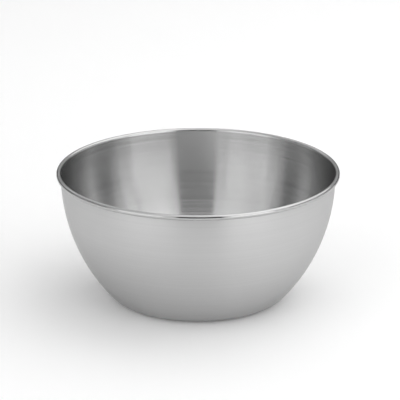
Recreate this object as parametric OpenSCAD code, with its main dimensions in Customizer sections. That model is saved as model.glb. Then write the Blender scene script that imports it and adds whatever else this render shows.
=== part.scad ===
// Steel salad bowl: one deep-drawn sheet whose edge is rolled outward around a wire ring.
// Millimetres, +Z up, origin on the table under the middle of the bowl.

/* [Bowl] */
// Diameter over the rolled rim
rim_d = 240; // [200:1:320]
// Height from the table to the top of the rim
height = 111; // [80:1:150]
// Diameter of the base, out to where it bends up into the wall
base_d = 132; // [90:1:150]
// Outside radius of the bend between base and wall
base_corner_r = 15; // [6:0.5:22]
// Height of the upright collar between the curved wall and the rolled rim
collar_h = 1.5; // [0.5:0.1:8]
// Thickness of the steel sheet
sheet_t = 0.7; // [0.5:0.05:1.2]

/* [Base] */
// Width of the flat ring that the bowl stands on
foot_ring_w = 9; // [4:0.5:20]
// Height of the shallow crown pressed up inside the foot ring
crown_h = 0.8; // [0.3:0.1:2]
// Radius of the bend between the foot ring and the crown
crown_bend_r = 200; // [50:10:300]

/* [Rolled rim] */
// Diameter of the wire that the edge is rolled around
wire_d = 3; // [2:0.1:4.5]
// Gap between the cut edge of the roll and the wall
curl_gap = 0.2; // [0.1:0.05:0.6]

/* [Hidden] */
$fn = 180;

// Largest distance between a round stretch of the section and its chords
chord_error = 0.01;

// Rolled rim: the chords of the seat just clear the wire
seat_r = wire_d / 2 + chord_error;
bead_r = seat_r + sheet_t;
curl_c = [rim_d / 2 - bead_r, height - bead_r];
curl_end_a = acos((curl_gap - seat_r) / bead_r);

// Wall: one arc, upright at the collar and tangent to the base bend
wall_top = [curl_c[0] - seat_r, curl_c[1] - collar_h];
bend_c = [base_d / 2, base_corner_r];
run = wall_top[0] - bend_c[0];
rise = wall_top[1] - bend_c[1];
wall_r = (run ^ 2 + rise ^ 2 - base_corner_r ^ 2) / (2 * (run - base_corner_r));
wall_c = [wall_top[0] - wall_r, wall_top[1]];
wall_start_a = atan2(-rise, bend_c[0] - wall_c[0]);

// Base: a shallow crown that runs out tangent to the flat foot ring
foot_in_r = base_d / 2 - foot_ring_w;
crown_a = 2 * atan(crown_h / foot_in_r);
crown_r = foot_in_r / sin(crown_a) - crown_bend_r;

// Bends of the sheet from the middle of the base to the cut edge of the roll, each
// [centre, radius of the outside skin, start angle, end angle]; straights lie between
BENDS = [
    [[0, crown_h - crown_r], crown_r, 90, 90 - crown_a],
    [[foot_in_r, crown_bend_r], crown_bend_r, -90 - crown_a, -90],
    [bend_c, base_corner_r, -90, wall_start_a],
    [wall_c, wall_r, wall_start_a, 0],
    [curl_c, seat_r, 180, 90],
    [curl_c, seat_r, 90, 0],
    [curl_c, seat_r, 0, -curl_end_a]
];

// Number of chords that keeps an arc within the chord error
function chord_count(r, sweep) = ceil(abs(sweep) / (2 * acos(1 - chord_error / r)));

// Points along one bend, at a depth into the sheet from its outside skin
function bend_points(bend, depth) =
    let (
        sweep = bend[3] - bend[2],
        count = chord_count(bend[1], sweep),
        r = bend[1] - sign(sweep) * depth
    )
    [for (i = [0:count]) bend[0] + r * [cos(bend[2] + sweep * i / count), sin(bend[2] + sweep * i / count)]];

// Skin of the sheet at a depth, without the points that neighbouring bends share
function skin(depth) =
    let (points = [for (bend = BENDS) each bend_points(bend, depth)])
    [for (i = [0:len(points) - 1]) if (i == 0 || norm(points[i] - points[i - 1]) > chord_error) points[i]];

function reversed(list) = [for (i = [len(list) - 1:-1:0]) list[i]];

// Drawn sheet with its crowned base, curved wall and rolled edge
module bowl_shell() {
    color("silver")
        rotate_extrude()
            polygon(concat(skin(0), reversed(skin(sheet_t))));
}

// Wire ring inside the rolled edge
module rim_wire() {
    color("lightslategray")
        rotate_extrude()
            translate(curl_c)
                circle(d = wire_d);
}

bowl_shell();
rim_wire();
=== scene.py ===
import math
from itertools import accumulate

import bmesh
import bpy
from mathutils import Euler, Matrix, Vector

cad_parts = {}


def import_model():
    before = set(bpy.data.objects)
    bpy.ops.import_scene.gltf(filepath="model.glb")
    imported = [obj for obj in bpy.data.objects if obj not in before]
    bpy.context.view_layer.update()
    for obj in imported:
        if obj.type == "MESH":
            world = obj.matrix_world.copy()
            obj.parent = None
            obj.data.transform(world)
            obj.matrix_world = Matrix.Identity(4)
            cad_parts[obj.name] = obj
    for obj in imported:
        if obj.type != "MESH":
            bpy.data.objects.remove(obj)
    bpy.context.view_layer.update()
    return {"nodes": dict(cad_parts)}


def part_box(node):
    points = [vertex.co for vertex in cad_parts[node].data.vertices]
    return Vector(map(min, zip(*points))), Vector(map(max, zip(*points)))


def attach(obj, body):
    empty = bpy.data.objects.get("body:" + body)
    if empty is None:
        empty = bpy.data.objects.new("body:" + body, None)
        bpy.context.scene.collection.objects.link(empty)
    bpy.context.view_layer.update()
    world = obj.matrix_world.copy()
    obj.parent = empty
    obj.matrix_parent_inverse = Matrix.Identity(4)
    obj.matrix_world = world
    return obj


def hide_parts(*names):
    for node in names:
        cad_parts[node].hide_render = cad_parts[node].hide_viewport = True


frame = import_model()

_, shell_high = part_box("bowl_shell")

# Sizes of the bowl in metres
RIM_RADIUS = shell_high.x
HEIGHT = shell_high.z
SHEET = 0.0007
WIRE_RADIUS = 0.0015
SEAT_GAP = 0.00001
CURL_GAP = 0.0002
COLLAR = 0.0015
BASE_RADIUS = 0.066
BASE_BEND = 0.015
FOOT_RING = 0.009
CROWN = 0.0008
CROWN_BEND = 0.2

QUARTER_TURN = math.pi / 2

# Angle around the roll from which its skin is polished, with 90 degrees at its top
POLISH_START = math.radians(155)

# Fineness of the turned mesh, and the distance below which two of its points are one
AROUND = 320
LONGEST_CHORD = 0.002
CHORD_ANGLE = math.radians(6)
SAME_POINT = 0.00001

# Steel finishes: name, tint, roughness, anisotropy and depth of the brushed grooves in metres
FINISHES = [
    ("satin_inside", 0.622, 0.24, 1.0, 6e-6),
    # The outside's tint, lower than the inside's, is painted shade: a darker copy of the same steel,
    # set against the floor light that it reflects
    ("satin_outside_painted_shade", 0.563, 0.33, 0.8, 6e-6),
    ("polished_rim", 0.5, 0.15, 1.0, 1e-6),
]
INSIDE, OUTSIDE, POLISHED = range(len(FINISHES))

# Share of light that steel keeps at a glancing angle, against a plain rise to white
EDGE_TINT = 0.79

# Brushing: lines per metre along the section and streaks per radian around the axis
FINE_BRUSH = (6000, 1.0)
BROAD_BRUSH = (900, 0.15)
BRUSH_DETAIL = 2
# Place in the noise that the brushing turns around: the middle of a cell, where lines are clear
BRUSH_MIDDLE = (0.5, 0.5, 0)
# How far the broad lines vary, as a share of the tint and as a roughness
TINT_SPREAD = 0.05
ROUGHNESS_SPREAD = 0.023
# Part of a full turn given to the anisotropy, so that reflections spread along the section
SPREAD_TURN = 0.25
# Middle range that holds most values of a noise
NOISE_RANGE = (0.3, 0.7)

# Drawn wire: tint, range of roughness, and grains across the ring
WIRE_TINT = 0.58
WIRE_ROUGHNESS = (0.2, 0.32)
WIRE_GRAIN = 900

# Camera, from the outline in the photograph
IMAGE_SIDE = 400
CAMERA_DISTANCE = 2.0
CAMERA_ELEVATION = math.radians(19.865)
FOCAL_PIXELS = 2339.2
SENSOR_MM = 36
TARGET = Vector((0, 0, 0.05))
TARGET_PIXEL = (198.04, 237.09)

# Floor, with the light added where it is seen, which takes its open part to white
FLOOR_HALF_SIDE = 6
FLOOR_SHADE = 0.97
FLOOR_LIFT = 0.05

# Studio cards: name, azimuth range and elevation range in degrees, and shade
STUDIO_RADIUS = 2.5
CARD_STEP = 5
CARDS = [
    ("front_flag", (-16.8, 19.6), (0, 45), 0.03),
    ("left_above", (-64, -17), (20, 29), 0.55),
    ("right_above", (20, 64), (20, 29), 0.55),
    ("left_wing", (-76, -64), (0, 29), 0.85),
    ("right_wing", (64, 76), (0, 29), 0.95),
    ("left_low", (-100, -76), (0, 13), 0.8),
    ("left_flag", (-100, -76), (13, 29), 0.35),
    ("left_middle", (-100, -76), (29, 40), 0.75),
    ("left_high", (-135, -76), (40, 74), 0.65),
    ("left_rear", (-115, -100), (0, 29), 0.55),
    ("left_rear_far", (-135, -115), (0, 29), 0.35),
    ("left_rear_middle", (-135, -100), (29, 40), 0.5),
    ("right_flag", (76, 100), (13, 29), 0.3),
    ("right_rear", (100, 115), (0, 29), 0.7),
    ("right_rear_far", (115, 135), (0, 29), 0.6),
    ("right_rear_middle", (88, 135), (29, 40), 0.5),
    ("back_low", (135, 225), (0, 13), 0.1),
    ("back_middle", (135, 225), (13, 29), 0.65),
]

# Soft lamps: name, azimuth and elevation in degrees, distance, width and height in metres, and watts
LAMPS = [
    ("right_softbox", 42.5, 12, 2.4, 1.6, 0.65, 4.8),
    ("left_softbox", -46.5, 12.5, 2.4, 1.7, 0.65, 3.6),
    ("right_fill", 47, 40, 2.4, 1.2, 1.2, 2.3),
    ("left_fill", -52, 40, 2.4, 1.6, 1.0, 1.35),
    ("top_softbox", 120, 58, 2.0, 2.4, 2.2, 11.0),
]


def bowl_bends():
    """Bends of the sheet from the middle of the base to the cut edge of the roll.

    Each is (centre, radius of the outside skin, start angle, end angle, whether it is polished),
    and straights lie between them.
    """
    seat = WIRE_RADIUS + SEAT_GAP
    bead = seat + SHEET
    curl = (RIM_RADIUS - bead, HEIGHT - bead)
    curl_end = math.acos((CURL_GAP - seat) / bead)
    wall_top = (curl[0] - seat, curl[1] - COLLAR)
    run = wall_top[0] - BASE_RADIUS
    rise = wall_top[1] - BASE_BEND
    wall = (run ** 2 + rise ** 2 - BASE_BEND ** 2) / (2 * (run - BASE_BEND))
    wall_centre = (wall_top[0] - wall, wall_top[1])
    wall_start = math.atan2(-rise, BASE_RADIUS - wall_centre[0])
    foot = BASE_RADIUS - FOOT_RING
    crown_angle = 2 * math.atan(CROWN / foot)
    crown = foot / math.sin(crown_angle) - CROWN_BEND
    return [
        ((0, CROWN - crown), crown, QUARTER_TURN, QUARTER_TURN - crown_angle, False),
        ((foot, CROWN_BEND), CROWN_BEND, -QUARTER_TURN - crown_angle, -QUARTER_TURN, False),
        ((BASE_RADIUS, BASE_BEND), BASE_BEND, -QUARTER_TURN, wall_start, False),
        (wall_centre, wall, wall_start, 0, False),
        (curl, seat, math.pi, POLISH_START, False),
        (curl, seat, POLISH_START, -curl_end, True),
    ]


def skin_points(depth):
    """Points (radius, height, polished) along the sheet at a depth from its outside skin."""
    points = []
    for (cx, cz), radius, start, end, polished in bowl_bends():
        sweep = end - start
        count = math.ceil(max(abs(sweep) / CHORD_ANGLE, abs(sweep) * radius / LONGEST_CHORD))
        r = radius - math.copysign(depth, sweep)
        for i in range(count + 1):
            a = start + sweep * i / count
            point = (cx + r * math.cos(a), cz + r * math.sin(a))
            if not points or math.dist(point, points[-1][:2]) > SAME_POINT:
                points.append((*point, polished))
    return points


def turned_mesh(name, profile, finishes, sharp):
    """A closed mesh turned from a profile (radius, height) that starts and ends on the axis.

    Each stretch of the profile has its finish, and the points listed as sharp turn into sharp edges.
    The layer "brush" holds the turn around the axis and the distance along the profile in metres.
    """
    along = list(accumulate(map(math.dist, profile, profile[1:]), initial=0))
    turns = [2 * math.pi * k / AROUND for k in range(AROUND)]
    bm = bmesh.new()
    uv = bm.loops.layers.uv.new("brush")
    rings = []
    for r, z in profile:
        if r < SAME_POINT:
            rings.append([bm.verts.new((0, 0, z))])
        else:
            rings.append([bm.verts.new((r * math.cos(a), r * math.sin(a), z)) for a in turns])
    for i, (low, high) in enumerate(zip(rings, rings[1:])):
        for k in range(AROUND):
            following = (k + 1) % AROUND
            corners = [(low[k % len(low)], k, i)]
            if len(low) > 1:
                corners.append((low[following], k + 1, i))
            if len(high) > 1:
                corners.append((high[following], k + 1, i + 1))
            corners.append((high[k % len(high)], k, i + 1))
            face = bm.faces.new([vertex for vertex, _, _ in corners])
            face.smooth = True
            face.material_index = finishes[i]
            for loop, (_, turn, row) in zip(face.loops, corners):
                loop[uv].uv = (turn / AROUND, along[row])
    for i in sharp:
        for k in range(AROUND):
            edge = bm.edges.get((rings[i][k], rings[i][(k + 1) % AROUND]))
            edge.smooth = False
    bmesh.ops.recalc_face_normals(bm, faces=bm.faces)
    mesh = bpy.data.meshes.new(name)
    bm.to_mesh(mesh)
    bm.free()
    return mesh


def link(obj):
    """Puts an object in the scene."""
    bpy.context.scene.collection.objects.link(obj)
    return obj


def grey(value):
    """An opaque grey."""
    return (value, value, value, 1)


def material(name):
    """A new material, with its nodes, its links and its shader."""
    made = bpy.data.materials.new(name)
    made.use_nodes = True
    nodes = made.node_tree.nodes
    return made, nodes, made.node_tree.links, nodes["Principled BSDF"]


def matte(name, shade):
    """A grey material without gloss, with its nodes, its links and its shader."""
    made, nodes, links, shader = material(name)
    shader.inputs["Base Color"].default_value = grey(shade)
    shader.inputs["Roughness"].default_value = 1
    shader.inputs["Specular IOR Level"].default_value = 0
    return made, nodes, links, shader


def math_node(nodes, links, kind, operation, *operands):
    """Result of a math node whose operands are sockets or constants."""
    node = nodes.new(kind)
    node.operation = operation
    for socket, operand in zip(node.inputs, operands):
        if isinstance(operand, bpy.types.NodeSocket):
            links.new(operand, socket)
        else:
            socket.default_value = operand
    return node.outputs[0]


def brush_noise(nodes, links, lines, around):
    """Noise drawn out around the axis, as circular brushing leaves it."""
    kind = "ShaderNodeVectorMath"
    place = nodes.new("ShaderNodeTexCoord")
    flat = math_node(nodes, links, kind, "MULTIPLY", place.outputs["Object"], (1, 1, 0))
    unit = math_node(nodes, links, kind, "NORMALIZE", flat)
    turn = math_node(nodes, links, kind, "MULTIPLY_ADD", unit, (around, around, 0), BRUSH_MIDDLE)
    strip = nodes.new("ShaderNodeUVMap")
    strip.uv_map = "brush"
    along = math_node(nodes, links, kind, "MULTIPLY", strip.outputs["UV"], (0, lines, 0))
    upright = nodes.new("ShaderNodeVectorRotate")
    upright.rotation_type = "X_AXIS"
    upright.inputs["Angle"].default_value = QUARTER_TURN
    links.new(along, upright.inputs["Vector"])
    noise = nodes.new("ShaderNodeTexNoise")
    noise.inputs["Scale"].default_value = 1
    noise.inputs["Detail"].default_value = BRUSH_DETAIL
    both = math_node(nodes, links, kind, "ADD", turn, upright.outputs["Vector"])
    links.new(both, noise.inputs["Vector"])
    return noise.outputs["Fac"]


def spread(nodes, links, value, low, high):
    """Maps a noise value from its middle range to low and high."""
    ramp = nodes.new("ShaderNodeMapRange")
    ramp.inputs["From Min"].default_value = NOISE_RANGE[0]
    ramp.inputs["From Max"].default_value = NOISE_RANGE[1]
    ramp.inputs["To Min"].default_value = low
    ramp.inputs["To Max"].default_value = high
    links.new(value, ramp.inputs["Value"])
    return ramp.outputs["Result"]


def satin_steel(name, tint, roughness, anisotropy, depth):
    """Steel brushed around the axis, with lines in its tint, its roughness and its relief."""
    made, nodes, links, shader = material(name)
    fine = brush_noise(nodes, links, *FINE_BRUSH)
    broad = brush_noise(nodes, links, *BROAD_BRUSH)
    shade = nodes.new("ShaderNodeMix")
    shade.data_type = "RGBA"
    shade.inputs["A"].default_value = grey(tint * (1 - TINT_SPREAD))
    shade.inputs["B"].default_value = grey(tint * (1 + TINT_SPREAD))
    links.new(broad, shade.inputs["Factor"])
    links.new(shade.outputs["Result"], shader.inputs["Base Color"])
    uneven = spread(nodes, links, broad, roughness - ROUGHNESS_SPREAD, roughness + ROUGHNESS_SPREAD)
    links.new(uneven, shader.inputs["Roughness"])
    groove = nodes.new("ShaderNodeBump")
    groove.inputs["Strength"].default_value = 1
    groove.inputs["Distance"].default_value = depth
    links.new(fine, groove.inputs["Height"])
    links.new(groove.outputs["Normal"], shader.inputs["Normal"])
    tangent = nodes.new("ShaderNodeTangent")
    tangent.direction_type = "RADIAL"
    tangent.axis = "Z"
    links.new(tangent.outputs["Tangent"], shader.inputs["Tangent"])
    shader.inputs["Metallic"].default_value = 1
    shader.inputs["Anisotropic"].default_value = anisotropy
    shader.inputs["Anisotropic Rotation"].default_value = SPREAD_TURN
    shader.inputs["Specular Tint"].default_value = grey(EDGE_TINT)
    return made


def bowl_sheet():
    """The drawn sheet with its rolled edge, in place of the CAD shell."""
    outer = skin_points(0)
    inner = skin_points(SHEET)[::-1]
    profile = outer + inner
    cut = len(outer) - 1
    finishes = []
    for i, (start, end) in enumerate(zip(profile, profile[1:])):
        if start[2] or end[2]:
            finishes.append(POLISHED)
        else:
            finishes.append(INSIDE if i > cut else OUTSIDE)
    mesh = turned_mesh("bowl_sheet", [point[:2] for point in profile], finishes, (cut, cut + 1))
    for finish in FINISHES:
        mesh.materials.append(satin_steel(*finish))
    piece = link(bpy.data.objects.new("bowl_sheet", mesh))
    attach(piece, "root")
    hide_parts("bowl_shell")


def rim_wire():
    """The finish of the CAD wire inside the roll."""
    wire = frame["nodes"]["rim_wire"]
    made, nodes, links, shader = material("drawn_wire")
    grain = nodes.new("ShaderNodeTexNoise")
    grain.inputs["Scale"].default_value = WIRE_GRAIN
    uneven = spread(nodes, links, grain.outputs["Fac"], *WIRE_ROUGHNESS)
    links.new(uneven, shader.inputs["Roughness"])
    shader.inputs["Base Color"].default_value = grey(WIRE_TINT)
    shader.inputs["Metallic"].default_value = 1
    wire.data.materials.clear()
    wire.data.materials.append(made)


def studio_way(azimuth, elevation):
    """Direction from the middle of the floor; azimuth 0 is at the camera, positive to its right."""
    a = math.radians(azimuth)
    e = math.radians(elevation)
    return Vector((math.sin(a) * math.cos(e), -math.cos(a) * math.cos(e), math.sin(e)))


def even_steps(low, high):
    """Evenly spaced angles from low to high, at most CARD_STEP apart."""
    count = math.ceil((high - low) / CARD_STEP)
    return [low + (high - low) * i / count for i in range(count + 1)]


def studio_card(name, azimuths, elevations, shade):
    """A curved grey card round the studio that the lens doesn't see."""
    across = even_steps(*azimuths)
    up = even_steps(*elevations)
    points = [studio_way(azimuth, elevation) * STUDIO_RADIUS for elevation in up for azimuth in across]
    wide = len(across)
    faces = []
    for row in range(len(up) - 1):
        for column in range(wide - 1):
            first = row * wide + column
            faces.append((first, first + 1, first + 1 + wide, first + wide))
    mesh = bpy.data.meshes.new(name)
    mesh.from_pydata(points, [], faces)
    mesh.materials.append(matte(name, shade)[0])
    obj = link(bpy.data.objects.new(name, mesh))
    obj.visible_camera = False


def soft_lamp(name, azimuth, elevation, distance, width, height, watts):
    """A rectangular lamp that faces the bowl."""
    data = bpy.data.lights.new(name, "AREA")
    data.shape = "RECTANGLE"
    data.size = width
    data.size_y = height
    data.energy = watts
    obj = link(bpy.data.objects.new(name, data))
    way = studio_way(azimuth, elevation)
    obj.location = way * distance
    obj.rotation_euler = way.to_track_quat("Z", "Y").to_euler()
    obj.visible_camera = False


def seen_lift(nodes, links):
    """FLOOR_LIFT for rays from the camera, from a reflection or through glass, and 0 for all others."""
    kind = "ShaderNodeMath"
    path = nodes.new("ShaderNodeLightPath")
    seen = path.outputs["Is Camera Ray"]
    for ray in ("Is Glossy Ray", "Is Transmission Ray"):
        seen = math_node(nodes, links, kind, "MAXIMUM", seen, path.outputs[ray])
    return math_node(nodes, links, kind, "MULTIPLY", seen, FLOOR_LIFT)


def floor():
    """A white floor that keeps the bowl's shadow."""
    s = FLOOR_HALF_SIDE
    mesh = bpy.data.meshes.new("floor")
    mesh.from_pydata([(-s, -s, 0), (s, -s, 0), (s, s, 0), (-s, s, 0)], [], [(0, 1, 2, 3)])
    made, nodes, links, shader = matte("white_floor", FLOOR_SHADE)
    shader.inputs["Emission Color"].default_value = grey(1)
    links.new(seen_lift(nodes, links), shader.inputs["Emission Strength"])
    mesh.materials.append(made)
    obj = link(bpy.data.objects.new("floor", mesh))


def world():
    """Plain white light from all round."""
    made = bpy.data.worlds.new("studio")
    made.use_nodes = True
    back = made.node_tree.nodes["Background"]
    back.inputs["Color"].default_value = grey(1)
    back.inputs["Strength"].default_value = 1
    bpy.context.scene.world = made


def camera():
    """A camera that shows TARGET at TARGET_PIXEL, turned without roll."""
    data = bpy.data.cameras.new("camera")
    data.sensor_width = SENSOR_MM
    data.lens = FOCAL_PIXELS / IMAGE_SIDE * SENSOR_MM
    obj = link(bpy.data.objects.new("camera", data))
    back = Vector((0, -math.cos(CAMERA_ELEVATION), math.sin(CAMERA_ELEVATION)))
    obj.location = TARGET + CAMERA_DISTANCE * back
    half = IMAGE_SIDE / 2
    pitch = math.atan((TARGET_PIXEL[1] - half) / FOCAL_PIXELS)
    yaw = math.atan((TARGET_PIXEL[0] - half) / FOCAL_PIXELS)
    obj.rotation_euler = Euler((QUARTER_TURN - CAMERA_ELEVATION + pitch, 0, yaw))
    bpy.context.scene.camera = obj


bpy.context.scene.view_settings.view_transform = "Standard"
camera()
bowl_sheet()
rim_wire()
floor()
world()
for card in CARDS:
    studio_card(*card)
for lamp in LAMPS:
    soft_lamp(*lamp)
